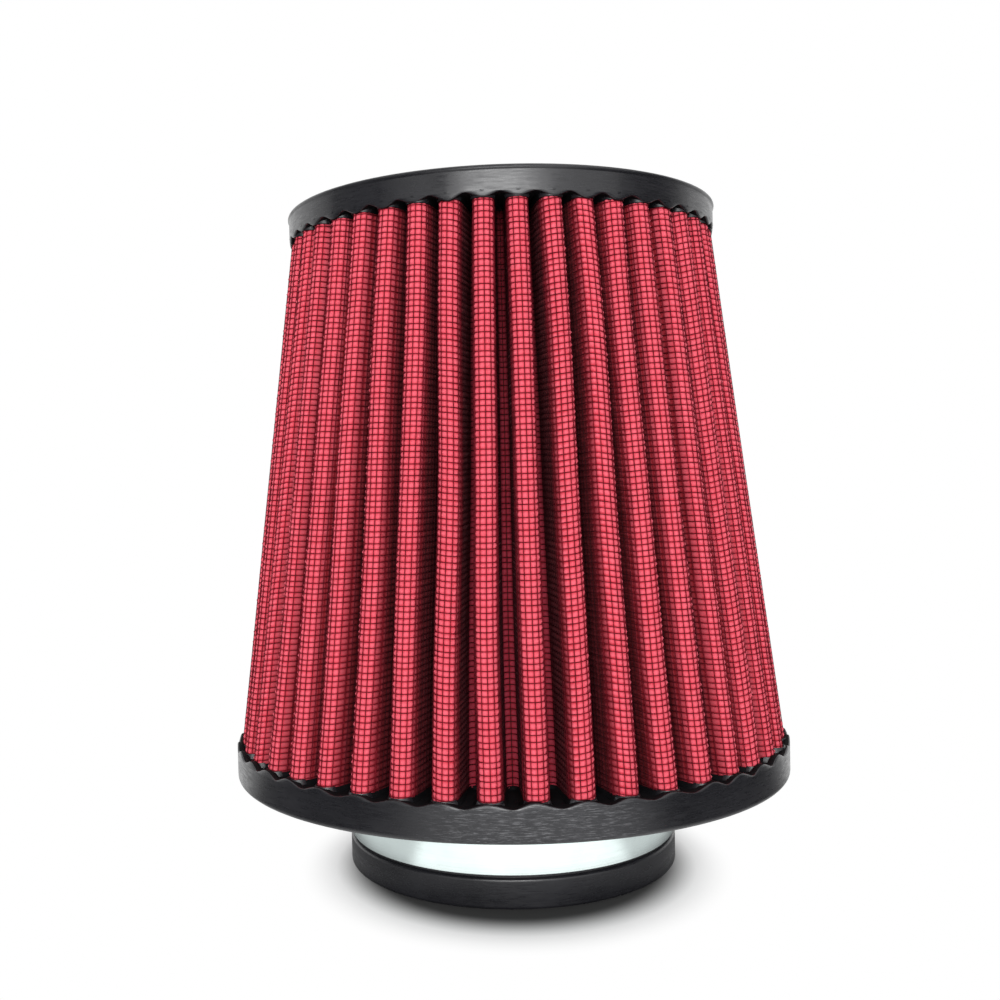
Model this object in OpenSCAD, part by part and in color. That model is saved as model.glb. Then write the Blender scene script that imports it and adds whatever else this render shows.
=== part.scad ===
/* [Overall size] */
// Outer diameter of the moulded base flange
base_d = 152.4; // [148:0.2:170]
// Outer diameter of the closed top cap
cap_d = 117.5; // [112:0.5:126]
// Height from the underside of the base flange's ring to the top of the cap
body_h = 152.4; // [120:0.2:200]

/* [Base flange] */
// Height of the ring that holds the lower ends of the pleats
ring_h = 7.8; // [6:0.1:12]
// Rubber left outside the pleat crests at the ring
ring_rim = 1.2; // [1:0.1:2]
// Rounding of the ring's lower outer edge
ring_round = 1.2; // [0.4:0.1:2.5]
// Bore of the neck, which takes the intake pipe
bore_d = 76.2; // [68:0.2:80]
// Chamfer at the mouth of the bore
mouth_chamfer = 1.2; // [0.4:0.1:2]
// Rounding of the bore's inner end, inside the filter
throat_round = 3; // [1:0.2:5]
// Length of the neck below the ring
neck_l = 26; // [24:0.5:34]
// Outer diameter of the lip at the end of the neck
lip_d = 91; // [90:0.2:96]
// Height of the lip
lip_h = 7.8; // [5:0.1:8.6]
// Rounding of the lip's edges
lip_round = 0.8; // [0.3:0.1:2]
// Radius of the fillet between the ring and the neck
neck_fillet = 2; // [0.5:0.1:2.4]

/* [Top cap] */
// Height of the cap's side
cap_h = 6; // [5:0.1:9]
// Rubber left outside the pleat crests at the cap
cap_rim = 1.1; // [1:0.1:2]
// Radius of the bead round the cap's top edge
cap_bead = 0.6; // [0.3:0.1:1]
// Depth of the shallow dish in the cap's top
dish_depth = 0.8; // [0.2:0.1:1.2]
// Width of the flat margin round the dish
dish_margin = 9; // [4:0.5:20]

/* [Pleats] */
// Number of pleats round the filter
pleat_n = 44; // [36:1:45]
// Depth of a pleat, from its crest to the valley floor outside
pleat_depth = 15; // [10:0.5:15.5]
// Outer radius of the fold at a crest
fold_r = 2.4; // [2.3:0.05:2.5]
// Radius of the fold in a valley, outside
valley_r = 0.8; // [0.7:0.05:0.9]
// Thickness of the cotton gauze
cotton_t = 1.3; // [0.8:0.1:1.4]
// Thickness of one sheet of wire cloth
screen_t = 0.3; // [0.2:0.05:0.35]
// Gap between the sheets
sheet_gap = 0.05; // [0.04:0.01:0.06]
// Depth to which the pleats are potted in the ring and in the cap
pot_depth = 3; // [2:0.2:3.6]
// Gap between the potted ends and the rubber
pot_gap = 0.1; // [0.08:0.01:0.15]
// Height to which the rubber climbs each crest
creep_h = 1.3; // [0.5:0.1:2]
// Depth to which that rubber is rooted in the ring or the cap
creep_root = 0.3; // [0.1:0.1:0.5]
// Thickness of that rubber where it ends on the crest
creep_tip = 0.2; // [0.1:0.05:0.4]

/* [Wire cloth] */
// Height of the wires that stand proud of the outer sheet
wire_h = 0.12; // [0.06:0.01:0.14]
// Width of a wire
wire_w = 0.35; // [0.2:0.05:0.5]
// Spacing of the wires round a crest
crest_wire_gap = 1.59; // [1.3:0.01:1.7]
// Number of wires shown on each flank of a pleat
flank_wires = 3; // [1:1:4]

/* [Hose clamp] */
// Width of the clamp's band
band_w = 12.7; // [10:0.1:12.8]
// Thickness of the band
band_t = 0.65; // [0.5:0.05:0.8]
// Depth of the band's face below the lip's face
band_sink = 0.3; // [0.1:0.05:0.8]
// Height of the band's lower edge above the lip
band_lift = 0.8; // [0.75:0.05:1.2]
// Slack between pieces of the clamp that lie on each other
slack = 0.05; // [0.03:0.01:0.08]
// Angle that the band's free tail covers past the housing
tail_angle = 37; // [20:1:60]
// Angle before the housing over which the band is slotted as well
fed_angle = 40; // [20:1:60]
// Angle of plain strip left at the end of the tail
plain_end = 5; // [4:1:8]
// Size of the clipped corners at the end of the tail
tail_clip = 2.8; // [1.5:0.1:3.5]
// Spacing of the slots that the screw engages
slot_pitch = 2.36; // [2:0.02:3]
// Width of a slot
slot_w = 1; // [0.7:0.05:1.2]
// Length of a slot
slot_l = 7.6; // [6:0.1:8.2]
// Slant of a slot against the band's width
slot_slant = 8; // [4:1:12]
// Thickness of the saddle under the band
saddle_t = 0.6; // [0.4:0.05:0.65]
// Width of the saddle's ears over the feet of the housing
ear_w = 1; // [0.6:0.1:1.2]
// Length of the screw housing along the band
housing_l = 12; // [10:0.5:14]
// Sheet thickness of the screw housing
housing_t = 0.9; // [0.7:0.05:1.1]

/* [Clamp screw] */
// Radius of the screw's shank under the thread
shank_r = 3.4; // [3:0.05:3.5]
// Radius of the collar that turns in the housing
collar_r = 4.19; // [3.9:0.01:4.25]
// Length of the collar
collar_l = 1.5; // [1:0.1:2]
// Clearance between the shank and the tail of the band
shank_gap = 0.12; // [0.06:0.01:0.2]
// Running clearance of the screw in the housing
run_gap = 0.06; // [0.03:0.01:0.1]
// End play of the screw
end_play = 0.1; // [0.05:0.01:0.2]
// Radius of the journal at the screw's tip
journal_r = 2; // [1.5:0.05:2.4]
// Height of the rivet head that holds the journal in the front wall
rivet_h = 0.7; // [0.4:0.1:1]
// Radius of the flange under the head
flange_r = 4.4; // [4.2:0.05:4.5]
// Thickness of the flange under the head
flange_t = 0.8; // [0.5:0.1:1.2]
// Width of the hexagon across its flats
hex_w = 7; // [6:0.1:7.5]
// Height of the hexagon
hex_h = 4.6; // [3:0.1:6]
// Width of the screwdriver slot
drive_w = 1.2; // [0.8:0.1:1.6]
// Depth of the screwdriver slot
drive_depth = 1.6; // [1:0.1:2.5]

/* [Hidden] */
$fn = 96;
rubber = [0.13, 0.13, 0.14];
wire_black = [0.2, 0.12, 0.13];
cotton_red = [0.9, 0.3, 0.36];
steel = [0.8, 0.81, 0.82];

// Heights of the main faces, counted from the mouth of the neck
ring_floor_z = neck_l + ring_h;
cap_top_z = neck_l + body_h;
cap_floor_z = cap_top_z - cap_h;
pot_low_z = ring_floor_z - pot_depth;
pot_high_z = cap_floor_z + pot_depth;

// Crest radius of the pleats, which narrows steadily from the ring to the cap
floor_crest_r = base_d / 2 - ring_rim;
cap_crest_r = cap_d / 2 - cap_rim;
taper = (floor_crest_r - cap_crest_r) / (cap_floor_z - ring_floor_z);
function crest_r(z) = floor_crest_r - taper * (z - ring_floor_z);

// Depths of the sheets' faces below the outermost one
cotton_in = screen_t + sheet_gap;
liner_in = cotton_in + cotton_t + sheet_gap;
pack_t = liner_in + screen_t;
pitch = 360 / pleat_n;

// Radii and places of the clamp
bore_r = bore_d / 2;
lip_r = lip_d / 2;
band_r = lip_r - band_sink - band_t;
groove_r = band_r - slack;
tail_r = band_r + band_t + slack;
tail_top_r = tail_r + band_t;
saddle_r = groove_r - saddle_t;
band_z = lip_h + band_lift;
band_top_z = band_z + band_w;
screw_z = band_z + band_w / 2;
screw_r = tail_top_r + shank_gap + shank_r;
tunnel_r = collar_r + run_gap;
foot_top_r = tail_top_r + slack + housing_t;
seat_angle = asin(housing_l / 2 / tail_r);
saddle_angle = seat_angle - 1;

// Direction in which a pleat's flank faces, from the radial line through its crest
function flank_dir(r) =
    let (valley = r - pleat_depth + valley_r,
         step = [valley * cos(pitch / 2) - r + fold_r, valley * sin(pitch / 2)])
    atan2(step[1], step[0]) - acos((fold_r + valley_r) / norm(step));

// Point at an angle on a circle whose centre lies on a radial line
function on_fold(dir, centre, r, a) =
    [centre * cos(dir) + r * cos(dir + a), centre * sin(dir) + r * sin(dir + a)];

// Angles of n points spread evenly over an arc
function spread(from, to, n) = [for (i = [0 : n - 1]) from + (to - from) * i / (n - 1)];

// Crest points of one pleat, and its valley points up to the next pleat
function crest_points(dir, r, depth, angles) =
    [for (a = angles) on_fold(dir, r - fold_r, fold_r - depth, a)];
function valley_points(dir, r, depth, n) =
    let (v = flank_dir(r) - pitch / 2)
    [for (a = spread(180 + v, 180 - v, n))
        on_fold(dir + pitch / 2, r - pleat_depth + valley_r, valley_r + depth, a)];

// Smooth outline of the pleated sheet at a depth below its outermost face
function pleat_outline(r, depth, n_crest, n_valley) =
    let (f = flank_dir(r))
    [for (k = [0 : pleat_n - 1])
        let (dir = k * pitch - 90)
        each concat(crest_points(dir, r, depth, spread(-f, f, n_crest)),
            valley_points(dir, r, depth, n_valley))];

// Three points of one proud wire on a fold, and on a straight flank from p to q
function wire_on_fold(dir, r, a) =
    let (half = wire_w / 2 / fold_r * 180 / PI)
    [on_fold(dir, r - fold_r, fold_r, a - half),
     on_fold(dir, r - fold_r, fold_r + wire_h, a),
     on_fold(dir, r - fold_r, fold_r, a + half)];
function wires_on_flank(p, q) =
    let (along = (q - p) / norm(q - p), out = [along[1], -along[0]])
    [for (i = [1 : flank_wires])
        let (mid = p + (q - p) * i / (flank_wires + 1))
        each [mid - along * wire_w / 2, mid + out * wire_h, mid + along * wire_w / 2]];

// Outer outline of the wire cloth, with the wires that run up the pleats
function wired_outline(r) =
    let (f = flank_dir(r), gap_a = crest_wire_gap / fold_r * 180 / PI)
    [for (k = [0 : pleat_n - 1])
        let (dir = k * pitch - 90,
             start = on_fold(dir, r - fold_r, fold_r, -f),
             end = on_fold(dir, r - fold_r, fold_r, f),
             valley = valley_points(dir, r, 0, 3),
             next = on_fold(dir + pitch, r - fold_r, fold_r, -f))
        each concat([start],
            [for (i = [-1 : 1]) each wire_on_fold(dir, r, i * gap_a)],
            [end],
            wires_on_flank(end, valley[0]),
            valley,
            wires_on_flank(valley[2], next))];

// Straight-sided tapered sheet between two outlines, each given low and high;
// split_a and split_b are the points per pleat of each outline that belong to its crest
module sheet(low_a, high_a, low_b, high_b, z_low, z_high, split_a, split_b) {
    na = len(low_a);
    nb = len(low_b);
    per_a = na / pleat_n;
    per_b = nb / pleat_n;
    function at(outline, z) = [for (p = outline) [p[0], p[1], z]];
    points = concat(at(low_a, z_low), at(high_a, z_high), at(low_b, z_low), at(high_b, z_high));
    // Side faces between a low ring that starts at point s and the high ring above it
    function sides(s, n) = [for (i = [0 : n - 1])
        let (j = (i + 1) % n)
        each [[s + i, s + i + n, s + j], [s + j, s + i + n, s + j + n]]];
    // One end of the sheet: four flat pieces to each pleat
    function ends(a, b) = [for (k = [0 : pleat_n - 1])
        let (a0 = a + k * per_a, b0 = b + k * per_b,
             a1 = a + (k + 1) % pleat_n * per_a, b1 = b + (k + 1) % pleat_n * per_b)
        each [
            concat([for (i = [0 : split_a - 1]) a0 + i], [for (i = [split_b - 1 : -1 : 0]) b0 + i]),
            [a0 + split_a - 1, a0 + split_a, b0 + split_b, b0 + split_b - 1],
            concat([for (i = [split_a : per_a - 1]) a0 + i], [for (i = [per_b - 1 : -1 : split_b]) b0 + i]),
            [a0 + per_a - 1, a1, b1, b0 + per_b - 1]]];
    function flip(faces) = [for (f = faces) [for (i = [len(f) - 1 : -1 : 0]) f[i]]];
    polyhedron(points, concat(sides(0, na), flip(sides(2 * na, nb)),
        ends(0, 2 * na), flip(ends(na, 2 * na + nb))), convexity = 12);
}

// Plain sheet whose faces lie at two depths, potted at both ends
module plain_sheet(depth_a, depth_b, crest_a, valley_a, crest_b, valley_b) {
    r0 = crest_r(pot_low_z);
    r1 = crest_r(pot_high_z);
    sheet(pleat_outline(r0, depth_a, crest_a, valley_a), pleat_outline(r1, depth_a, crest_a, valley_a),
        pleat_outline(r0, depth_b, crest_b, valley_b), pleat_outline(r1, depth_b, crest_b, valley_b),
        pot_low_z, pot_high_z, crest_a, crest_b);
}

// Room for the potted ends of all three sheets, between two heights
module pot_room(z_low, z_high) {
    out = -(wire_h + pot_gap);
    translate([0, 0, z_low])
        linear_extrude(z_high - z_low)
            difference() {
                polygon(pleat_outline(max(crest_r(z_low), crest_r(z_high)), out, 6, 3));
                polygon(pleat_outline(min(crest_r(z_low), crest_r(z_high)), pack_t + pot_gap, 2, 4));
            }
}

// Rubber that creeps along the outside of each crest, from a face at z, up or down
module creep(z, up, rim) {
    low = up ? z - creep_root : z - creep_h;
    high = up ? z + creep_h : z + creep_root;
    clear_r = fold_r + wire_h + pot_gap;
    foot_r = fold_r + rim - pot_gap;
    tip_r = clear_r + creep_tip;
    for (k = [0 : pleat_n - 1])
        rotate([0, 0, k * pitch - 90])
            translate([crest_r(min(z, low)) - fold_r, 0, low])
                difference() {
                    cylinder(h = high - low, r1 = up ? foot_r : tip_r, r2 = up ? tip_r : foot_r, $fn = 32);
                    translate([0, 0, -1])
                        cylinder(h = high - low + 2, r = clear_r, $fn = 32);
                    translate([creep_tip - 2 * fold_r, -2 * fold_r, -1])
                        cube([2 * fold_r, 4 * fold_r, high - low + 2]);
                }
}

// Quarter-round from one direction to another, as profile points
function corner(x, z, r, from, to, n = 7) = [for (a = spread(from, to, n)) [x + r * cos(a), z + r * sin(a)]];

// Part of a ring round the clamp's axis, centred on the back of the neck
module back_arc(from, to) {
    rotate([0, 0, 90 + from])
        rotate_extrude(angle = to - from, $fn = 180)
            children();
}

module base_flange() {
    base_r = base_d / 2;
    color(rubber) union() {
        difference() {
            rotate_extrude($fn = 180)
                polygon(concat(
                    [[bore_r, mouth_chamfer], [bore_r + mouth_chamfer, 0]],
                    corner(lip_r - lip_round, lip_round, lip_round, -90, 0),
                    corner(lip_r - lip_round, lip_h - lip_round, lip_round, 0, 90),
                    [[groove_r, lip_h]],
                    corner(groove_r + neck_fillet, neck_l - neck_fillet, neck_fillet, 180, 90),
                    corner(base_r - ring_round, neck_l + ring_round, ring_round, -90, 0),
                    [[base_r, ring_floor_z]],
                    corner(bore_r + throat_round, ring_floor_z - throat_round, throat_round, 90, 180)));
            pot_room(pot_low_z - slack, ring_floor_z + 1);
            // Dent that the saddle presses into the neck
            back_arc(-seat_angle, seat_angle)
                translate([saddle_r - slack, lip_h])
                    square([groove_r - saddle_r + slack + 0.5, neck_l - neck_fillet - lip_h]);
        }
        creep(ring_floor_z, true, ring_rim);
    }
}

module top_cap() {
    cap_r = cap_d / 2;
    wall_r = cap_r - cap_bead / 2;
    dish_z = cap_top_z - dish_depth;
    dish_r = wall_r - dish_margin;
    color(rubber) union() {
        difference() {
            rotate_extrude($fn = 180)
                polygon(concat(
                    [[0, cap_floor_z], [wall_r, cap_floor_z], [wall_r, cap_top_z - 2 * cap_bead]],
                    corner(cap_r - cap_bead, cap_top_z - cap_bead, cap_bead, -45, 90),
                    [[dish_r + dish_depth, cap_top_z], [dish_r, dish_z], [0, dish_z]]));
            pot_room(cap_floor_z - 1, pot_high_z + slack);
        }
        creep(cap_floor_z, false, cap_rim - cap_bead / 2);
    }
}

module outer_screen() {
    r0 = crest_r(pot_low_z);
    r1 = crest_r(pot_high_z);
    color(wire_black)
        sheet(wired_outline(r0), wired_outline(r1),
            pleat_outline(r0, screen_t, 5, 3), pleat_outline(r1, screen_t, 5, 3),
            pot_low_z, pot_high_z, 11, 5);
}

module cotton_media() {
    color(cotton_red) plain_sheet(cotton_in, cotton_in + cotton_t, 5, 3, 2, 3);
}

module inner_screen() {
    color(wire_black) plain_sheet(liner_in, pack_t, 2, 3, 2, 4);
}

// Band that runs once round the neck, climbs onto its fixed end and leaves as a free tail
module clamp_band() {
    climb = seat_angle;
    slot_a = slot_pitch / tail_r * 180 / PI;
    n_back = floor(fed_angle / slot_a);
    n_front = floor((seat_angle + tail_angle - plain_end) / slot_a);
    tail_end = seat_angle + tail_angle;
    function climb_r(a) = band_r + (tail_r - band_r) * (1 - cos(180 * (a + climb) / climb)) / 2;
    // Angle, radius and inset of the ramp's points, which runs on inside both arcs
    ramp = concat([[-climb - 2, band_r, band_t / 4]],
        [for (a = spread(-climb, 0, 9)) [a, climb_r(a), band_t / 20]],
        [[2, tail_r, band_t / 4]]);
    color(steel) difference() {
        union() {
            back_arc(1, 360 - climb)
                translate([band_r, band_z]) square([band_t, band_w]);
            back_arc(0, tail_end)
                translate([tail_r, band_z]) square([band_t, band_w]);
            translate([0, 0, band_z])
                linear_extrude(band_w)
                    polygon(concat(
                        [for (p = ramp) (p[1] + p[2]) * [cos(90 + p[0]), sin(90 + p[0])]],
                        [for (i = [len(ramp) - 1 : -1 : 0])
                            let (p = ramp[i])
                            (p[1] + band_t - p[2]) * [cos(90 + p[0]), sin(90 + p[0])]]));
        }
        // Slots cut through the tail, and through the stretch that feeds it
        for (i = [-n_back : n_front])
            let (low = i < 0 ? band_r - 1 : tail_r - slack / 2)
            rotate([0, 0, i * slot_a])
                translate([0, low, screw_z])
                    rotate([0, slot_slant, 0])
                        translate([-slot_w / 2, 0, -slot_l / 2])
                            cube([slot_w, tail_top_r + 1 - low, slot_l]);
        // Clipped corners at the end of the tail
        for (side = [-1, 1])
            rotate([0, 0, tail_end])
                translate([0, tail_top_r + 1, screw_z + side * band_w / 2])
                    rotate([90, 0, 0])
                        linear_extrude(band_t + 1 + slack / 2)
                            polygon([[-1, side], [tail_clip + 1, side], [-1, -side * (tail_clip + 1)]]);
    }
}

// Plate under the band, with two ears folded over the feet of the housing
module clamp_saddle() {
    under_r = foot_top_r + slack;
    ear_top_r = under_r + saddle_t;
    low = band_z - slack;
    high = band_top_z + slack;
    color(steel) back_arc(-saddle_angle, saddle_angle)
        polygon([[saddle_r, low - saddle_t], [ear_top_r, low - saddle_t], [ear_top_r, low + ear_w],
            [under_r, low + ear_w], [under_r, low], [groove_r, low], [groove_r, high],
            [under_r, high], [under_r, high - ear_w], [ear_top_r, high - ear_w],
            [ear_top_r, high + saddle_t], [saddle_r, high + saddle_t]]);
}

// Pressed arch that carries the screw across the slotted tail
module clamp_housing() {
    arch_r = tunnel_r + housing_t;
    front = -housing_l / 2;
    color(steel) difference() {
        union() {
            translate([front, screw_r, screw_z])
                rotate([0, 90, 0])
                    cylinder(h = housing_l, r = arch_r);
            translate([front, groove_r, screw_z - arch_r])
                cube([housing_l, screw_r - groove_r, 2 * arch_r]);
            back_arc(-seat_angle, seat_angle)
                translate([tail_r, band_z])
                    square([foot_top_r - tail_r, band_w]);
        }
        // Underside, bent to the tail
        translate([0, 0, band_z - 1])
            cylinder(h = band_w + 2, r = tail_top_r + slack, $fn = 180);
        // Tunnel of the screw, open to the band
        translate([front + housing_t, screw_r, screw_z])
            rotate([0, 90, 0])
                cylinder(h = housing_l, r = tunnel_r);
        translate([front + housing_t, groove_r, screw_z - tunnel_r])
            cube([housing_l, screw_r - groove_r, 2 * tunnel_r]);
        // Hole for the journal in the front wall
        translate([front - 1, screw_r, screw_z])
            rotate([0, 90, 0])
                cylinder(h = housing_t + 2, r = journal_r + run_gap);
    }
}

// Screw with a slotted hexagon head, a collar, a shank and a riveted tip
module worm_screw() {
    front = -housing_l / 2;
    back = housing_l / 2;
    shank_start = front + housing_t + end_play;
    head_start = back + end_play;
    color(steel) translate([0, screw_r, screw_z]) rotate([0, 90, 0]) difference() {
        union() {
            translate([0, 0, front - end_play - rivet_h]) cylinder(h = rivet_h, r = journal_r + rivet_h);
            translate([0, 0, front - end_play]) cylinder(h = housing_t + 2 * end_play, r = journal_r);
            translate([0, 0, shank_start]) cylinder(h = head_start - shank_start, r = shank_r);
            translate([0, 0, head_start - collar_l]) cylinder(h = collar_l, r = collar_r);
            translate([0, 0, head_start]) cylinder(h = flange_t, r = flange_r);
            translate([0, 0, head_start + flange_t])
                intersection() {
                    cylinder(h = hex_h, d = hex_w / cos(30), $fn = 6);
                    cylinder(h = hex_h, r1 = hex_w / 2 + hex_h, r2 = hex_w / 2);
                }
        }
        translate([-hex_w, -drive_w / 2, head_start + flange_t + hex_h - drive_depth])
            cube([2 * hex_w, drive_w, drive_depth + 1]);
    }
}

top_cap();
base_flange();
outer_screen();
cotton_media();
inner_screen();
clamp_band();
clamp_saddle();
clamp_housing();
worm_screw();
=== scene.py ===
import math
import bpy
import numpy as np
from mathutils import Matrix, Vector


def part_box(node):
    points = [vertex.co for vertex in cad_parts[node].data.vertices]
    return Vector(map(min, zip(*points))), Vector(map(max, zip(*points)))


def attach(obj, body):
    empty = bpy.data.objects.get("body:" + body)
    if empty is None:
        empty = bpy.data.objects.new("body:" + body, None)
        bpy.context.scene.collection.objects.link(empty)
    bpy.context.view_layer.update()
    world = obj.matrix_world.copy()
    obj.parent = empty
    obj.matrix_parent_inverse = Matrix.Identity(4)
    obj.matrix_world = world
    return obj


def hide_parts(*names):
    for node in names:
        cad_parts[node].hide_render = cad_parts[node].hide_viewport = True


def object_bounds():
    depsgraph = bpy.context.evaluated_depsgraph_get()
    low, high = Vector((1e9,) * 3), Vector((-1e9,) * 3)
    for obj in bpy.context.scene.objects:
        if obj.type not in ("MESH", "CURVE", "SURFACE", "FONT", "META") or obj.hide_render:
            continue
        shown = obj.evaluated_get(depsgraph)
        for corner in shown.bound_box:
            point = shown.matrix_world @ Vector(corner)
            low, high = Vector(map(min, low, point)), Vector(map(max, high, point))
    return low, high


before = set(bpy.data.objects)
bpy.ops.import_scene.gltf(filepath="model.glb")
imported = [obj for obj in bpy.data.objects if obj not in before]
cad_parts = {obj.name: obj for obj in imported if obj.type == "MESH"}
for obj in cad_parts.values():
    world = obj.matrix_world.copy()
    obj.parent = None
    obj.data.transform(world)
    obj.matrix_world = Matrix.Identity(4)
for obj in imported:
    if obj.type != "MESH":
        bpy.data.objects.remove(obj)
cad_low, cad_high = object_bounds()

# Everything below is in metres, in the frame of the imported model
MM = 0.001
INCH = 25.4 * MM
FILTER = "filter"
SCREW = "screw"
SEED = 7

# Sizes that the pleated pack shares with the part
PLEATS = 44
PLEAT_DEPTH = 15 * MM
RING_H = 7.8 * MM
NECK_L = 26 * MM
RING_RIM = 1.2 * MM
CAP_H = 6 * MM
CAP_RIM = 1.1 * MM
CAP_D = 117.5 * MM

# Outer radii of the folds. The solids have 2.4 and 0.8 mm all the way up; the cloth in the photo is
# fuller than that, and most so at the ring.
FOLD_LOW_R = 3 * MM
FOLD_HIGH_R = 2.6 * MM
VALLEY_LOW_R = 1.4 * MM
VALLEY_HIGH_R = 0.85 * MM

# How far the pleats drift sideways and inwards, the seeds of these drifts, and how soon they set in
# above the potted ends (the smaller, the sooner)
SWAY, SWAY_SEED = 0.3 * MM, 11
SINK, SINK_SEED = 0.1 * MM, 12
HOLD = 0.3

# The gauze's columns from one crest to the next: half a mesh apart on the crest, then down the
# flank, through the valley and up. Each has its UV step, and how far it puffs out of the mesh.
CREST_STEPS = range(-4, 5)
CREST_UV = [abs(m) / 2 for m in CREST_STEPS]
FOLD_UV = [4, 6, 8, 8.5, 9, 8.5, 8, 6, 4]
VALLEY_UV = 9
CREST_PUFF = [m % 2 for m in CREST_STEPS]
FOLD_PUFF = [0.55, 0.55, 0, 1, 0, 1, 0, 0.55, 0.55]

# Looseness of the weave: the shift of the upright wires as a share of their spacing, the slant and
# slip of the wires round the filter, and the spread of the gauze's puff
WARP_SHIFT = 0.35
WEFT_SLANT = 0.33 * MM
WEFT_SLIP = 0.07 * MM
GAUZE_LOOSE = 0.35

# Wire cloth, 18 by 16 wires to the inch. Depths count from the fold's outer face.
WEFT_PITCH = INCH / 18
WARP_PITCH = INCH / 16
WIRE_R = 0.125 * MM
WIRE_SIDES = (0, 2.1, -2.1)
WEFT_DEPTH = 0.08 * MM
WARP_DEPTH = WEFT_DEPTH + 0.04 * MM
COTTON_DEPTH = 0.3 * MM
LINER_DEPTH = 2.1 * MM
PUFF = 0.3 * MM

ring_floor_z = NECK_L + RING_H
cap_floor_z = cad_high.z - CAP_H
floor_crest_r = cad_high.x - RING_RIM
cap_crest_r = CAP_D / 2 - CAP_RIM
taper = (floor_crest_r - cap_crest_r) / (cap_floor_z - ring_floor_z)
half_pitch = math.pi / PLEATS
rng = np.random.default_rng(SEED)


def crest_radius(z):
    """Outer radius of the crests at a height."""
    return floor_crest_r - taper * (z - ring_floor_z)


def fold_radii(r):
    """Outer radii of a crest's fold and of a valley's, for the crest radius r."""
    low = (r - cap_crest_r) / (floor_crest_r - cap_crest_r)
    fold = FOLD_HIGH_R + (FOLD_LOW_R - FOLD_HIGH_R) * low
    bend = VALLEY_HIGH_R + (VALLEY_LOW_R - VALLEY_HIGH_R) * low
    return fold, bend


def flank_step(r):
    """Step from the centre of a crest's fold to the centre of the next valley's."""
    fold, bend = fold_radii(r)
    valley = r - PLEAT_DEPTH + bend
    return valley * math.cos(half_pitch) - r + fold, valley * math.sin(half_pitch)


def flank_dir(r):
    """Direction of a flank's normal, from the radial line through its crest."""
    x, y = flank_step(r)
    return np.arctan2(y, x) - np.arccos(sum(fold_radii(r)) / np.hypot(x, y))


# A column is a line that runs up every pleat. It is (region, value, share): the region of the fold,
# the place in that region, and the share of the next pleat's drift that it takes.
def crest_column(u):
    """A column at a distance along the fold from the middle of a crest."""
    return ("crest", u, 0.0)


def crest_share(t):
    """A column at a share of the way from the middle of a crest to its flank."""
    return ("crest share", t, 0.0)


def flank_column(side, t):
    """A column at a share of the way down a flank, right of the crest or left of it."""
    return ("right flank", t, 0.5 * t) if side > 0 else ("left flank", t, 1 - 0.5 * t)


def valley_column(t):
    """A column at a share of the way through a valley."""
    return ("valley", t, 0.5)


def crest_columns(count):
    return [crest_share(t) for t in np.linspace(-1, 1, count)]


def valley_columns(count):
    return [valley_column(t) for t in np.linspace(0, 1, count)]


def fold_point(region, value, r):
    """Place on the fold's outer face and its outward normal, for crest radii r, in the frame of
    the pleat, whose crest lies on its x axis."""
    f = flank_dir(r)
    fold, bend = fold_radii(r)
    crest = r - fold
    valley = r - PLEAT_DEPTH + bend
    cx, cy = valley * math.cos(half_pitch), valley * math.sin(half_pitch)
    if region in ("crest", "crest share"):
        a = np.clip(value / fold, -f, f) if region == "crest" else value * f
        n = np.stack([np.cos(a), np.sin(a)], -1)
        return np.stack([crest, 0 * crest], -1) + fold[:, None] * n, n
    if region == "valley":
        v = f - half_pitch
        a = half_pitch + math.pi + v * (1 - 2 * value)
        n = -np.stack([np.cos(a), np.sin(a)], -1)
        return np.stack([cx, cy], -1) - bend[:, None] * n, n
    start = np.stack([crest + fold * np.cos(f), fold * np.sin(f)], -1)
    end = np.stack([cx - bend * np.cos(f), cy - bend * np.sin(f)], -1)
    p = start + (end - start) * value
    n = np.stack([np.cos(f), np.sin(f)], -1)
    if region == "left flank":
        # Mirrored in the valley's radial line, this is the near flank of the next pleat
        c, s = math.cos(2 * half_pitch), math.sin(2 * half_pitch)
        mirror = np.array([[c, s], [s, -c]])
        return p @ mirror.T, n @ mirror.T
    return p, n


def wobble_field(z, amount, seed):
    """Slow drift of each pleat along its height, nought where it is potted: rows by pleats."""
    draw = np.random.default_rng(seed)
    t = np.clip((z - ring_floor_z) / (cap_floor_z - ring_floor_z), 0, 1)
    out = np.zeros((len(z), PLEATS))
    for wave in (1, 2, 3):
        size = draw.normal(0, 1, PLEATS) / wave
        out += np.sin(math.pi * wave * t)[:, None] * size[None, :]
    return amount * out * np.clip(np.sin(math.pi * t), 0, 1)[:, None] ** HOLD


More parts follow.
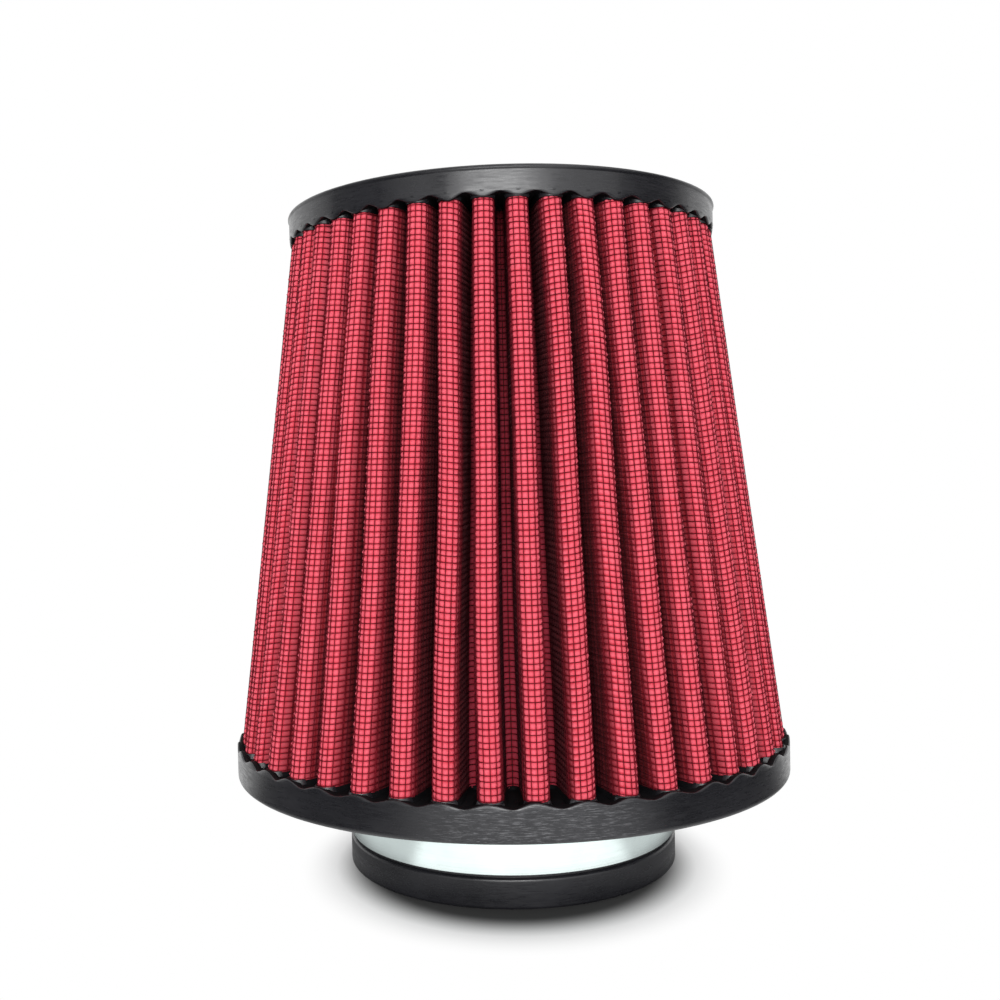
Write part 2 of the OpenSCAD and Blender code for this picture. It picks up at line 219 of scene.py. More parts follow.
def pleat_grid(z, columns, depth, lift=None):
    """Points and normals of all pleats: rows by pleats by columns by 3. depth may be an array."""
    r = crest_radius(z)
    sway = wobble_field(z, SWAY, SWAY_SEED)
    sink = np.abs(wobble_field(z, SINK, SINK_SEED))
    points = np.zeros((len(z), PLEATS, len(columns), 3))
    normals = np.zeros_like(points)
    for c, (region, value, share) in enumerate(columns):
        for k in range(PLEATS):
            here = value[k] if isinstance(value, np.ndarray) else value
            p, n = fold_point(region, here, r)
            drift = sway[:, k] * (1 - share) + sway[:, (k + 1) % PLEATS] * share
            inward = sink[:, k] * (1 - share) + sink[:, (k + 1) % PLEATS] * share
            a = k * 2 * half_pitch - math.pi / 2 + drift / r
            ca, sa = np.cos(a), np.sin(a)
            keep = 1 - inward / r
            points[:, k, c, 0] = (p[:, 0] * ca - p[:, 1] * sa) * keep
            points[:, k, c, 1] = (p[:, 0] * sa + p[:, 1] * ca) * keep
            points[:, k, c, 2] = z
            normals[:, k, c, 0] = n[:, 0] * ca - n[:, 1] * sa
            normals[:, k, c, 1] = n[:, 0] * sa + n[:, 1] * ca
    if lift is not None:
        points[..., 2] += lift
    d = np.asarray(depth)
    d = d if d.ndim == 0 else d[..., None]
    return points - normals * d, normals


def new_mesh(name, verts, faces, body, mats, uv=None, smooth=True, replaces=()):
    """A mesh object from numpy vertices and equal-sided faces, riding on a body."""
    verts = np.asarray(verts, np.float32).reshape(-1, 3)
    faces = np.asarray(faces, np.int32)
    mesh = bpy.data.meshes.new(name)
    mesh.vertices.add(len(verts))
    mesh.vertices.foreach_set("co", verts.ravel())
    mesh.loops.add(faces.size)
    mesh.loops.foreach_set("vertex_index", faces.ravel())
    mesh.polygons.add(len(faces))
    starts = np.arange(0, faces.size, faces.shape[1], dtype=np.int32)
    mesh.polygons.foreach_set("loop_start", starts)
    if uv is not None:
        layer = mesh.uv_layers.new(name="cloth")
        layer.data.foreach_set("uv", np.asarray(uv, np.float32)[faces.ravel()].ravel())
    mesh.update(calc_edges=True)
    mesh.validate()
    mesh.polygons.foreach_set("use_smooth", np.full(len(mesh.polygons), smooth))
    for mat in mats:
        mesh.materials.append(mat)
    obj = bpy.data.objects.new(name, mesh)
    bpy.context.scene.collection.objects.link(obj)
    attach(obj, body)
    if replaces:
        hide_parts(*replaces)
    return obj


def grid_faces(rows, cols, turn=1):
    """Quads of a grid of points, closed round its columns, and turned over if turn is -1."""
    i, j = np.meshgrid(np.arange(rows - 1), np.arange(cols), indexing="ij")
    k = (j + 1) % cols
    faces = np.stack([i * cols + j, i * cols + k, (i + 1) * cols + k, (i + 1) * cols + j], -1)
    return faces.reshape(-1, 4)[:, ::turn]


def tube_faces(count, length, sides, wrap):
    """Quads of many tubes: count tubes of length rings with the given sides."""
    steps = length if wrap else length - 1
    w, i, s = np.meshgrid(np.arange(count), np.arange(steps), np.arange(sides), indexing="ij")
    j, t = (i + 1) % length, (s + 1) % sides
    base = w * length * sides
    return np.stack([base + i * sides + s, base + i * sides + t,
                     base + j * sides + t, base + j * sides + s], -1).reshape(-1, 4)


def wire_rings(line, out, side):
    """Rings of thin tubes round lines of points, from the ways out of the cloth and across it."""
    return np.stack([line + WIRE_R * (math.cos(a) * out + math.sin(a) * side)
                     for a in WIRE_SIDES], -2)


# Materials
class Tree:
    """A node tree with short ways to add a node and link it. Each returns the node's output."""

    def __init__(self, tree):
        self.nodes = tree.nodes
        self.links = tree.links

    def put(self, socket, value):
        """Link an output to a socket, or give the socket a constant."""
        if isinstance(value, bpy.types.NodeSocket):
            self.links.new(value, socket)
        else:
            socket.default_value = value

    def coords(self, source="Object"):
        return self.nodes.new("ShaderNodeTexCoord").outputs[source]

    def stretched(self, scale, source="Object", shift=(0, 0, 0)):
        """Coordinates that are stretched by three factors and then shifted."""
        node = self.nodes.new("ShaderNodeMapping")
        node.inputs["Location"].default_value = shift
        node.inputs["Scale"].default_value = scale
        self.links.new(self.coords(source), node.inputs["Vector"])
        return node.outputs["Vector"]

    def split(self, source):
        node = self.nodes.new("ShaderNodeSeparateXYZ")
        self.links.new(source, node.inputs[0])
        return node.outputs["X"], node.outputs["Y"], node.outputs["Z"]

    def ray(self, kind):
        return self.nodes.new("ShaderNodeLightPath").outputs[kind]

    def noise(self, source, scale, detail, rough=0.6):
        node = self.nodes.new("ShaderNodeTexNoise")
        node.inputs["Scale"].default_value = scale
        node.inputs["Detail"].default_value = detail
        node.inputs["Roughness"].default_value = rough
        self.links.new(source, node.inputs["Vector"])
        return node.outputs["Fac"]

    def ramp(self, source, *stops):
        """Colours between stops, each of them a place and a colour."""
        node = self.nodes.new("ShaderNodeValToRGB")
        while len(node.color_ramp.elements) < len(stops):
            node.color_ramp.elements.new(0.5)
        for element, (place, colour) in zip(node.color_ramp.elements, stops):
            element.position = place
            element.color = (*colour, 1)
        self.links.new(source, node.inputs["Fac"])
        return node.outputs["Color"]

    def maths(self, operation, a, b=None):
        node = self.nodes.new("ShaderNodeMath")
        node.operation = operation
        self.put(node.inputs[0], a)
        if b is not None:
            self.put(node.inputs[1], b)
        return node.outputs[0]

    def product(self, first, *others):
        for other in others:
            first = self.maths("MULTIPLY", first, other)
        return first

    def weighted(self, *parts):
        """Sum of several values, each with its weight."""
        total = None
        for value, weight in parts:
            part = self.maths("MULTIPLY", value, weight)
            total = part if total is None else self.maths("ADD", total, part)
        return total

    def wave(self, value):
        """Nought at every whole number and one halfway between them."""
        return self.maths("ABSOLUTE", self.maths("SINE", self.maths("MULTIPLY", value, math.pi)))

    def vector(self, operation, source):
        node = self.nodes.new("ShaderNodeVectorMath")
        node.operation = operation
        self.links.new(source, node.inputs[0])
        return node.outputs["Value" if operation == "LENGTH" else "Vector"]

    def blend(self, source, start, end, low, high, smooth=True):
        """A change from one value to another between two places, smooth or even."""
        node = self.nodes.new("ShaderNodeMapRange")
        node.interpolation_type = "SMOOTHSTEP" if smooth else "LINEAR"
        for socket, value in (("From Min", start), ("From Max", end),
                              ("To Min", low), ("To Max", high)):
            node.inputs[socket].default_value = value
        self.links.new(source, node.inputs["Value"])
        return node.outputs["Result"]

    def mix(self, kind, share, a, b, mode="MIX"):
        """One value or colour or another, by a share from 0 to 1. kind is FLOAT or RGBA."""
        node = self.nodes.new("ShaderNodeMix")
        node.data_type = kind
        node.blend_type = mode
        self.put(node.inputs["A"], a)
        self.put(node.inputs["B"], b)
        self.put(node.inputs["Factor"], share)
        return node.outputs["Result"]

    def bump(self, height, strength, distance, normal=None):
        node = self.nodes.new("ShaderNodeBump")
        node.inputs["Strength"].default_value = strength
        node.inputs["Distance"].default_value = distance
        self.links.new(height, node.inputs["Height"])
        if normal is not None:
            self.links.new(normal, node.inputs["Normal"])
        return node.outputs["Normal"]


class Look(Tree):
    """A material of one principled shader."""

    def __init__(self, name):
        self.mat = bpy.data.materials.new(name)
        self.mat.use_nodes = True
        super().__init__(self.mat.node_tree)
        self.shader = self.nodes["Principled BSDF"]

    def surface(self, **sockets):
        """Set the shader's sockets, named with underscores for spaces, and return the material."""
        for name, value in sockets.items():
            self.put(self.shader.inputs[name.replace("_", " ")], value)
        return self.mat


def rubber_material():
    """Satin black moulded polyurethane with a faint mould grain and fine streaks. On the upright
    wall at the front of the ring, lighter streaks are painted in as a painted highlight."""
    look = Look("moulded_polyurethane")
    grain = look.noise(look.coords(), scale=900, detail=3)
    cloud = look.noise(look.coords(), scale=45, detail=5)
    streak = look.noise(look.stretched((200, 200, 2000)), scale=1, detail=5, rough=0.7)
    highlight_noise = look.noise(look.stretched((330, 330, 3600)), scale=1, detail=6, rough=0.75)
    x, y, z = look.split(look.coords())
    tilt = look.split(look.coords("Normal"))[2]
    # Painted highlight: lighter grey streaks only on the upright wall at the front middle of the
    # ring, between the neck and the cap, where the lamp's highlight falls
    front = look.blend(y, -50 * MM, -30 * MM, 1, 0)
    middle = look.blend(look.maths("ABSOLUTE", x), 12 * MM, 30 * MM, 1, 0)
    above_neck = look.blend(z, 14 * MM, 20 * MM, 0, 1)
    below_cap = look.blend(z, 40 * MM, 60 * MM, 1, 0)
    upright = look.blend(look.maths("ABSOLUTE", tilt), 0.35, 0.8, 1, 0)
    highlight_streaks = look.blend(highlight_noise, 0.5, 0.62, 0, 1)
    painted_highlight = look.product(front, middle, above_neck, below_cap, upright, highlight_streaks)
    black = look.ramp(cloud, (0.3, (0.008, 0.008, 0.0098)), (0.7, (0.014, 0.014, 0.0168)))
    # Colour of the painted highlight streaks
    highlight_grey = (0.085, 0.085, 0.091, 1)
    satin, dull = (0.2,) * 3, (0.42,) * 3
    sheen = look.weighted((streak, 0.7), (cloud, 0.3))
    fine = look.bump(grain, strength=0.1, distance=0.03 * MM)
    return look.surface(
        Base_Color=look.mix("RGBA", painted_highlight, black, highlight_grey),
        Specular_IOR_Level=0.4,
        Roughness=look.ramp(sheen, (0.36, satin), (0.64, dull)),
        Normal=look.bump(streak, strength=0.3, distance=0.03 * MM, normal=fine))


def potting_shade_material():
    """The rubber's poured face between the pleats, matt and near black as painted shade."""
    look = Look("poured_polyurethane_painted_shade")
    cloud = look.noise(look.coords(), scale=250, detail=4)
    return look.surface(
        # Painted shade: near black, darker than the moulded rubber, so that the poured face reads
        # as shadow
        Base_Color=look.ramp(cloud, (0.3, (0.002, 0.002, 0.0025)), (0.7, (0.005, 0.005, 0.0058))),
        Specular_IOR_Level=0.08,
        Roughness=0.7,
        Normal=look.bump(cloud, strength=0.3, distance=0.2 * MM))


def cotton_material():
    """Oiled cotton gauze: coral red on the crests, paler where it puffs out of the mesh and darker
    along the wires as painted light and shade, and darkened down in the folds as painted shade. UV
    runs in
    steps of the mesh: across from the crest's middle, and up."""
    look = Look("oiled_cotton_gauze")
    across, up, _ = look.split(look.coords("UV"))
    pillow = look.product(look.maths("POWER", look.wave(across), 0.5),
                          look.maths("POWER", look.wave(up), 0.5))
    thread = look.noise(look.stretched((5, 9, 1), "UV"), scale=1, detail=3)
    patch = look.noise(look.coords(), scale=420, detail=4)
    # Painted light and shade: the pillow term makes each cell paler in its middle and darker along
    # the wires
    tone_and_cell_shade = look.weighted((thread, 0.2), (patch, 0.35), (pillow, 0.5))
    dye_and_cell_shade = look.ramp(tone_and_cell_shade, (0.25, (0.28, 0.007, 0.017)), (0.5, (0.54, 0.044, 0.066)),
                    (0.8, (0.68, 0.11, 0.15)))
    # The share of the way from crest to valley, counted a little higher near the ring, which places
    # the painted shade of the folds
    depth = look.product(look.maths("DIVIDE", across, VALLEY_UV),
                         look.blend(up, 0, 95, 1.05, 0.9, smooth=False))
    # Painted shade of the folds: full colour on the crests, near black down the flanks, lighter
    # again in the valley
    painted_fold_shade = look.ramp(depth, (0.2, (1, 1, 1)), (0.29, (0.56, 0.46, 0.46)), (0.42, (0.2, 0.13, 0.13)),
                     (0.84, (0.1, 0.055, 0.065)), (0.95, (0.5, 0.36, 0.42)))
    yarn = look.bump(thread, strength=0.5, distance=0.2 * MM)
    return look.surface(
        Base_Color=look.mix("RGBA", 1, dye_and_cell_shade, painted_fold_shade, "MULTIPLY"),
        Roughness=0.85,
        Specular_IOR_Level=0.1,
        Sheen_Weight=0.03,
        Sheen_Roughness=0.4,
        Sheen_Tint=(1, 0.62, 0.66, 1),
        Normal=look.bump(pillow, strength=0.35, distance=0.3 * MM, normal=yarn))


def wire_material():
    """Black coated wire with a brown cast where the coating is thin, and painted shade that darkens
    it down in the folds.
    """
    look = Look("coated_wire_cloth")
    patch = look.noise(look.coords(), scale=300, detail=3)
    height = look.split(look.coords())[2]
    cone = look.maths("ADD", look.maths("MULTIPLY", height, -taper),
                      floor_crest_r + taper * ring_floor_z)
    reach = look.vector("LENGTH", look.stretched((1, 1, 0)))
    # Painted shade: the wire darkens to near black from 2.4 to 6.5 mm in from the crests
    wire_fold_shade = look.blend(look.maths("SUBTRACT", cone, reach), 2.4 * MM, 6.5 * MM, 0, 1)
    coat = look.ramp(patch, (0.35, (0.08, 0.003, 0.007)), (0.75, (0.2, 0.011, 0.022)))
    # Colour of the painted shade down in the folds
    deep = (0.03, 0.003, 0.005, 1)
    return look.surface(
        Base_Color=look.mix("RGBA", wire_fold_shade, coat, deep),
        Roughness=0.5,
        Specular_IOR_Level=0.08)


def liner_material():
    """The inner cloth: red cotton behind a black mesh, drawn by the sheet's own coordinates."""
    look = Look("inner_wire_cloth")
    across, up, _ = look.split(look.coords("UV"))
    wire_share = 0.3
    wires = [look.maths("LESS_THAN", look.wave(value), wire_share) for value in (across, up)]
    mesh = look.maths("MAXIMUM", *wires)
    return look.surface(
        Base_Color=look.ramp(mesh, (0.2, (0.62, 0.05, 0.075)), (0.8, (0.02, 0.01, 0.011))),
        Roughness=0.7,
        Normal=look.bump(mesh, strength=0.6, distance=0.3 * MM))


def steel_material(name, colour, rough, stretch):
    """Metal with fine lines, which are long where the stretch is small."""
    look = Look(name)
    line = look.noise(look.stretched(stretch), scale=1, detail=5, rough=0.7)
    cloud = look.noise(look.coords(), scale=90, detail=4)
    shade = tuple(c * 0.9 for c in colour)
    smooth, dull = (rough * 0.75,) * 3, (rough * 1.3,) * 3
    return look.surface(
        Base_Color=look.ramp(cloud, (0.3, shade), (0.65, colour)),
        Roughness=look.ramp(line, (0.3, smooth), (0.7, dull)),
        Metallic=1.0,
        Normal=look.bump(line, strength=0.12, distance=0.1 * MM))


# Camera, from the outlines in the photograph: its place before the turn that brings a crest to -Y
IMAGE = 1000
FOCAL_PX = 1139.5
PRINCIPAL = (442.4, 503.9)
CAMERA_AT = Vector((-0.01768, -0.32218, NECK_L + 0.08136))
CAMERA_PITCH = 0.02605
CAMERA_ROLL = -0.02326
CREST_TURN = math.radians(-1.35)
SENSOR_MM = 36
NEAREST = 0.01


def make_camera():
    """The photograph's camera, given by its pitch and roll before the turn."""
    data = bpy.data.cameras.new("camera")
    data.sensor_width = SENSOR_MM
    data.lens = data.sensor_width * FOCAL_PX / IMAGE
    data.shift_x = 0.5 - PRINCIPAL[0] / IMAGE
    data.shift_y = PRINCIPAL[1] / IMAGE - 0.5
    data.clip_start = NEAREST
    camera = bpy.data.objects.new("camera", data)
    bpy.context.scene.collection.objects.link(camera)
    turn = Matrix.Rotation(CREST_TURN, 3, "Z")
    forward = Vector((0, math.cos(CAMERA_PITCH), -math.sin(CAMERA_PITCH)))
    right = Vector((1, 0, 0))
    up = Vector((0, math.sin(CAMERA_PITCH), math.cos(CAMERA_PITCH)))
    c, s = math.cos(CAMERA_ROLL), math.sin(CAMERA_ROLL)
    axes = [turn @ (right * c + up * s), turn @ (up * c - right * s), turn @ -forward]
    place = turn @ CAMERA_AT
    rows = [[axes[0][i], axes[1][i], axes[2][i], place[i]] for i in range(3)]
    camera.matrix_world = Matrix(rows + [[0, 0, 0, 1]])
    bpy.context.scene.camera = camera


# Half of the floor's width, and the place that the lamps aim at
FLOOR_HALF = 6.0
LAMP_AIM = Vector((0, 0, 0.1))


def make_floor():
    """A white floor that shows the cast shadow near the filter, deepened by a painted shadow in its
    colour, and is pure white further out.
    """
    mesh = bpy.data.meshes.new("floor")
    half = FLOOR_HALF
    corners = [(-half, -half, 0), (half, -half, 0), (half, half, 0), (-half, half, 0)]
    mesh.from_pydata(corners, [], [(0, 1, 2, 3)])
    floor = bpy.data.objects.new("floor", mesh)
    bpy.context.scene.collection.objects.link(floor)
    look = Look("white_floor")
    look.mat.cycles.emission_sampling = "NONE"
    # From 0 under the filter to 1 away from it, in an oval round its foot
    oval = look.stretched((1.12, 1, 1), shift=(0, 0.006, 0))
    away = look.blend(look.vector("LENGTH", oval), 0.044, 0.067, 0, 1)
    # Painted shadow: the floor's colour darkens from 0.85 to 0.06 towards the filter's foot
    look.surface(Base_Color=look.ramp(away, (0, (0.06,) * 3), (0.5, (0.85,) * 3)),
                 Roughness=0.8, Specular_IOR_Level=0.1)
    # What the glossy faces mirror: near the foot, and then further out by direction
    heading = look.split(look.vector("NORMALIZE", look.coords()))[1]
    reach = look.vector("LENGTH", look.coords())
    near = look.product(look.blend(heading, -0.66, -0.54, 1.25, 0.68),
                        look.blend(reach, 0.058, 0.072, 0.25, 1))
    far = look.maths("ADD", look.blend(heading, -0.95, -0.68, 1.6, 0.05),
                     look.blend(heading, 0.05, 0.45, 0, 1.1))
    mirrored = look.mix("FLOAT", look.blend(reach, 0.1, 0.14, 0, 1), near, far)
    glow = look.nodes.new("ShaderNodeEmission")
    strength = look.mix("FLOAT", look.ray("Is Glossy Ray"), 1, mirrored)
    look.links.new(strength, glow.inputs["Strength"])
    seen = look.maths("MAXIMUM", look.ray("Is Camera Ray"), look.ray("Is Glossy Ray"))
    both = look.nodes.new("ShaderNodeMixShader")
    parts = look.product(seen, away), look.shader.outputs[0], glow.outputs[0]
    for socket, output in zip(both.inputs, parts):
        look.links.new(output, socket)
    look.links.new(both.outputs[0], look.nodes["Material Output"].inputs["Surface"])
    mesh.materials.append(look.mat)


def make_world():
    """A white background, dim light from all round, and bright patches for the glossy faces."""
    world = bpy.data.worlds.new("studio")
    bpy.context.scene.world = world
    world.use_nodes = True
    world.cycles.sampling_method = "NONE"
    tree = Tree(world.node_tree)
    side, depth, _ = tree.split(tree.coords("Generated"))
    right = tree.product(tree.blend(side, 0.17, 0.24, 0, 1.6), tree.blend(side, 0.8, 0.88, 1, 0))
    left = tree.product(tree.blend(side, -0.88, -0.8, 0, 1.1),
                        tree.blend(side, -0.62, -0.54, 1, 0))
    patches = tree.product(tree.maths("ADD", left, right), tree.blend(depth, -0.15, 0, 1, 0))
    ends = tree.maths("ADD", tree.blend(depth, -0.95, -0.6, 0.42, 0.1),
                      tree.blend(depth, 0.1, 0.4, 0, 1.1))
    dim = 0.12
    lit = tree.mix("FLOAT", tree.ray("Is Glossy Ray"), dim, tree.maths("ADD", patches, ends))
    seen = tree.maths("MAXIMUM", tree.ray("Is Camera Ray"), tree.ray("Is Transmission Ray"))
    background = tree.nodes["Background"]
    tree.links.new(tree.mix("FLOAT", seen, lit, 1), background.inputs["Strength"])
    background.inputs["Color"].default_value = (1, 1, 1, 1)


def soft_lamp(name, place, size, watts, mirrored=True):
    """A soft box that lights the middle of the filter."""
    data = bpy.data.lights.new(name, "AREA")
    data.shape = "RECTANGLE"
    data.size, data.size_y = size
    data.energy = watts
    lamp = bpy.data.objects.new(name, data)
    lamp.visible_glossy = mirrored
    bpy.context.scene.collection.objects.link(lamp)
    lamp.location = place
    heading = LAMP_AIM - Vector(place)
    lamp.rotation_euler = heading.to_track_quat("-Z", "Y").to_euler()


make_camera()
make_floor()
make_world()
soft_lamp("key", (-0.1, -1.25, 0.4), (0.8, 0.6), 18)
soft_lamp("top", (0, -0.1, 1.2), (1.2, 1.2), 6)
soft_lamp("back_left", (-0.9, 0.75, 0.35), (0.8, 0.6), 11, False)
soft_lamp("back_right", (0.9, 0.75, 0.35), (0.8, 0.6), 11, False)

rubber = rubber_material()
potting_shade = potting_shade_material()
cotton = cotton_material()
wire = wire_material()
liner = liner_material()
band_steel = steel_material("rolled_stainless", (0.85, 0.96, 0.945), 0.2, (30, 30, 2200))
screw_steel = steel_material("zinc_plated_steel", (0.66, 0.66, 0.68), 0.3, (900, 900, 900))

for node, mat in (("top_cap", rubber), ("base_flange", rubber), ("clamp_band", band_steel),
                  ("clamp_saddle", band_steel), ("clamp_housing", band_steel),
                  ("worm_screw", screw_steel)):
    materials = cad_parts[node].data.materials
    materials.clear()
    materials.append(mat)

# Rows of the mesh: the weft wires lie at whole steps above the ring's floor
weft_count = int((cap_floor_z - ring_floor_z) / WEFT_PITCH)
phase = rng.uniform(-WARP_SHIFT, WARP_SHIFT, PLEATS) * WARP_PITCH
slant = rng.normal(0, WEFT_SLANT, PLEATS)
slip = rng.normal(0, WEFT_SLIP, (weft_count + 2, PLEATS))


def side_of(region, value, _):
    """Where a column lies across its pleat, from -1 left of the crest to 1 right of it."""
    if region == "crest":
        return np.clip(np.mean(value) / FOLD_HIGH_R, -1, 1)
    return {"crest share": value, "right flank": 1 - value, "left flank": value - 1,
            "valley": 0}[region]


def weft_lift(z, columns):
    """Small slopes and slips of the weft wires across each pleat."""
    side = np.array([side_of(*column) for column in columns])
    step = np.rint((z - ring_floor_z) / WEFT_PITCH).astype(int)
    return slip[step][:, :, None] + slant[None, :, None] * side[None, None, :]


def in_halves(name, rows, shared, stands_for):
    """The lower and the upper piece of a cloth: name, first row, end row and replaced nodes."""
    cut = rows // 2
    return (name + "_low", 0, cut + shared, (stands_for,)), (name + "_high", cut, rows, ())


def make_cotton():
    """The gauze, puffed out of every opening of the wire cloth."""
    half = WARP_PITCH / 2
    columns = [crest_column(phase + m * half) for m in CREST_STEPS]
    columns += [flank_column(1, 0.3), flank_column(1, 0.65)] + valley_columns(5)
    columns += [flank_column(-1, 0.65), flank_column(-1, 0.3)]
    across = np.array(CREST_PUFF + FOLD_PUFF)
    u = np.tile(CREST_UV + FOLD_UV, PLEATS)
    rows = 2 * weft_count + 2
    z = np.append(ring_floor_z + np.arange(rows - 1) * WEFT_PITCH / 2, cap_floor_z + 0.3 * MM)
    # Every second row lies halfway between two weft wires
    between = (np.arange(rows) % 2)[:, None, None]
    puff = between * (0.35 + 0.65 * across)[None, None, :]
    puff = puff + 0.15 * across[None, None, :]
    loose = 1 + GAUZE_LOOSE * rng.normal(0, 1, (rows, PLEATS, len(columns))).clip(-1.5, 1.5)
    depth = COTTON_DEPTH - PUFF * puff * loose
    points, _ = pleat_grid(z, columns, depth, weft_lift(z, columns))
    cols = PLEATS * len(columns)
    for name, a, b, stands in in_halves("cotton_gauze", rows, 1, "cotton_media"):
        v = np.arange(a, b)[:, None] / 2
        uv = np.stack(np.broadcast_arrays(u[None, :], v), -1).reshape(-1, 2)
        new_mesh(name, points[a:b], grid_faces(b - a, cols), FILTER, [cotton], uv,
                 replaces=stands)


def make_weft():
    """Wires that run round the filter, in and out of every pleat."""
    columns = crest_columns(8) + valley_columns(5)
    z = ring_floor_z + np.arange(1, weft_count + 1) * WEFT_PITCH
    line, out = pleat_grid(z, columns, WEFT_DEPTH, weft_lift(z, columns))
    rows, per_ring = len(z), PLEATS * len(columns)
    verts = wire_rings(line, out, np.array([0, 0, 1.0])).reshape(rows, -1, 3)
    for name, a, b, stands in in_halves("weft_wires", rows, 0, "outer_screen"):
        faces = tube_faces(b - a, per_ring, len(WIRE_SIDES), True)
        new_mesh(name, verts[a:b], faces, FILTER, [wire], replaces=stands)


def make_warp():
    """Wires that run up the pleats, evenly spaced round every fold."""
    r_mid = float(crest_radius((ring_floor_z + cap_floor_z) / 2))
    fold, bend = fold_radii(r_mid)
    flank = math.sqrt(math.hypot(*flank_step(r_mid)) ** 2 - (fold + bend) ** 2)
    on_crest = fold * float(flank_dir(r_mid))
    columns = [crest_column(phase + j * WARP_PITCH) for j in range(-2, 3)]
    for j in range(3, 11):
        t = (j * WARP_PITCH - on_crest) / flank
        if 0 < t < 1:
            columns += [flank_column(1, t), flank_column(-1, t)]
    columns += valley_columns(3)
    z = np.linspace(ring_floor_z, cap_floor_z, 15)
    line, out = pleat_grid(z, columns, WARP_DEPTH)
    line = line.transpose(1, 2, 0, 3).reshape(-1, len(z), 3)
    out = out.transpose(1, 2, 0, 3).reshape(-1, len(z), 3)
    tubes = wire_rings(line, out, np.cross(out, [0, 0, 1.0]))
    faces = tube_faces(len(line), len(z), len(WIRE_SIDES), False)
    new_mesh("warp_wires", tubes, faces, FILTER, [wire])


def make_liner():
    """The inner wire cloth against the cotton, seen through the bore."""
    columns = crest_columns(5) + [flank_column(1, 0.5)] + valley_columns(9)
    columns += [flank_column(-1, 0.5)]
    z = np.linspace(ring_floor_z, cap_floor_z, 41)
    points, _ = pleat_grid(z, columns, LINER_DEPTH)
    from_valley = np.abs(np.arange(-4, 5))
    u = np.tile(np.concatenate([[2, 1, 0, 1, 2, 5], 12 - from_valley, [5]]), PLEATS)
    v = (z - ring_floor_z)[:, None] / WEFT_PITCH
    uv = np.stack(np.broadcast_arrays(u[None, :], v), -1).reshape(-1, 2)
    faces = grid_faces(len(z), PLEATS * len(columns), -1)
    new_mesh("inner_cloth", points, faces, FILTER, [liner], uv,
             replaces=("inner_screen",))


# The worm's thread: its pitch, where it starts and how long it is, and half its width and its
# radius at the root and at the crest
THREAD_PITCH = 2.36 * MM
THREAD_START = -4.9 * MM
THREAD_L = 9.3 * MM
THREAD_ROOT = (0.55 * MM, 3.3 * MM)
THREAD_CREST = (0.25 * MM, 3.48 * MM)


def make_thread():
    """The worm's low thread, which winds round the screw between its collar and its tip."""
    low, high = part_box("worm_screw")
    middle = (low + high) / 2
    x = THREAD_START + np.linspace(0, 1, 160) * THREAD_L
    a = x / THREAD_PITCH * 2 * math.pi
    profile = ((-1, THREAD_ROOT), (-1, THREAD_CREST), (1, THREAD_CREST), (1, THREAD_ROOT))
    verts = np.stack([
        np.stack([x + side * half, middle.y + r * np.cos(a), middle.z + r * np.sin(a)], -1)
        for side, (half, r) in profile], 1)
    new_mesh("worm_thread", verts, tube_faces(1, len(x), 4, False), SCREW,
             [screw_steel], smooth=False)


# Outermost row of the poured face: how far inside the wall, and how high over the solid's face
POT_EDGE_IN = 0.3 * MM
POT_EDGE_UP = 0.06 * MM

# Rows of the poured face from there on: how far each stands out of the crests, and how high, in mm
RING_CREEP = ((1, 0.06), (0.48, 0.15), (0.3, 0.5), (0.12, 0.9), (-0.3, 1))
CAP_CREEP = ((0.9, 0.06), (0.6, 0.15), (0.45, 0.5), (0.34, 1), (0.26, 1.33), (-0.3, 1.36))


def make_potting(name, face_z, direction, wall_r, creep):
    """The poured face between the pleats, and the rubber that wicks up them from it, drawn in the
    black of the painted shade just over the solid's face.
    """
    columns = crest_columns(9) + [flank_column(1, 0.2), flank_column(1, 0.6)] + valley_columns(5)
    columns += [flank_column(-1, 0.6), flank_column(-1, 0.2)]
    reach = np.array([1.0] * 9 + [0.8, 0.6] + [0.35] * 5 + [0.6, 0.8])
    points, _ = pleat_grid(np.array([face_z]), columns, 0.0)
    edge = points.reshape(-1, 3)
    edge = edge * ((wall_r - POT_EDGE_IN) / np.hypot(edge[:, 0], edge[:, 1]))[:, None]
    edge[:, 2] = face_z + direction * POT_EDGE_UP
    rows = [edge]
    for out, up in creep:
        z = face_z + direction * up * MM
        points, normals = pleat_grid(np.array([z]), columns, 0.0)
        shift = (out * MM * reach)[None, None, :, None]
        rows.append((points + normals * shift).reshape(-1, 3))
    faces = grid_faces(len(rows), PLEATS * len(columns), direction)
    new_mesh(name, np.concatenate(rows), faces, FILTER, [potting_shade])


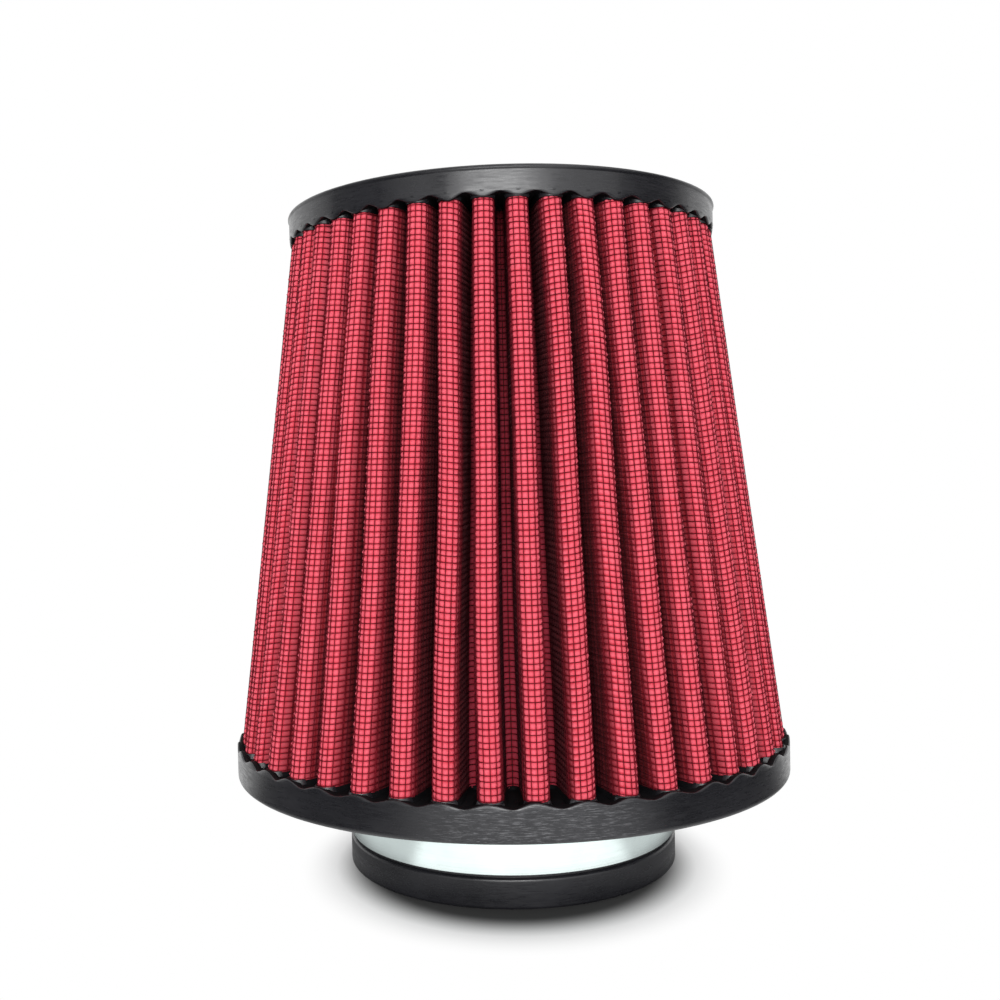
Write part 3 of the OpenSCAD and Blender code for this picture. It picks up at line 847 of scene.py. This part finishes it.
# Profile of the wavy edge: share of the way from the wall in to the crests, and share of its
# height, or mm below the face where that is negative. The first three strips of faces look out and
# the rest look in. Then its points a pleat, how deep it bites into a crest, the most that it covers
# inwards from the wall, and its height between the crests.
RIM_PROFILE = ((0, -0.15), (0, 0.7), (0.06, 0.9), (0.2, 1.0), (1, 1.05), (1.25, -0.05))
RIM_OUTSIDE = 3
RIM_STEPS = 16
RIM_BITE = 0.15 * MM
RIM_WIDTH = 1.8 * MM
RIM_LOWEST = 0.12 * MM


def make_rim(name, face_z, direction, wall_r, climb):
    """The wavy edge of the rubber's wall, which climbs onto every crest and dips between them."""
    share = np.linspace(-1, 1, RIM_STEPS + 1)[:-1]
    size = climb * rng.uniform(0.8, 1.25, PLEATS)
    lean = rng.uniform(-0.16, 0.16, PLEATS)
    r = float(crest_radius(face_z))
    fold, _ = fold_radii(r)
    verts = []
    for out, up in RIM_PROFILE:
        ring = np.zeros((PLEATS, len(share), 3))
        for k in range(PLEATS):
            a = (2 * k + share) * half_pitch - math.pi / 2
            y = wall_r * share * half_pitch
            crest = r - fold + np.sqrt(np.maximum(fold ** 2 - y ** 2, 0))
            inner = np.maximum(crest - RIM_BITE, wall_r - RIM_WIDTH)
            radius = wall_r + (inner - wall_r) * out
            bent = share + lean[k] * (1 - share ** 2)
            high = RIM_LOWEST + size[k] * (0.5 + 0.5 * np.cos(math.pi * bent)) ** 0.8
            z = face_z + direction * (high * up if up > 0 else up * MM)
            ring[k] = np.stack([radius * np.cos(a), radius * np.sin(a), z + 0 * a], -1)
        verts.append(ring.reshape(-1, 3))
    per_ring = PLEATS * len(share)
    faces = grid_faces(len(verts), per_ring, direction)
    obj = new_mesh(name, np.concatenate(verts), faces, FILTER,
                   [rubber, potting_shade])
    # The strips that look in take the matt black of the potting's painted shade
    inside = np.arange(len(faces)) >= RIM_OUTSIDE * per_ring
    obj.data.polygons.foreach_set("material_index", inside.astype(np.int32))


make_cotton()
make_weft()
make_warp()
make_liner()
make_thread()
ring_wall_r = cad_high.x - 0.02 * MM
cap_wall_r = CAP_D / 2 - 0.32 * MM
make_potting("potting_low", ring_floor_z, 1, ring_wall_r, RING_CREEP)
make_potting("potting_high", cap_floor_z, -1, cap_wall_r, CAP_CREEP)
make_rim("ring_edge", ring_floor_z, 1, ring_wall_r, 1.25 * MM)
make_rim("cap_edge", cap_floor_z, -1, cap_wall_r, 1.3 * MM)

scene = bpy.context.scene
scene.view_settings.view_transform = "Standard"
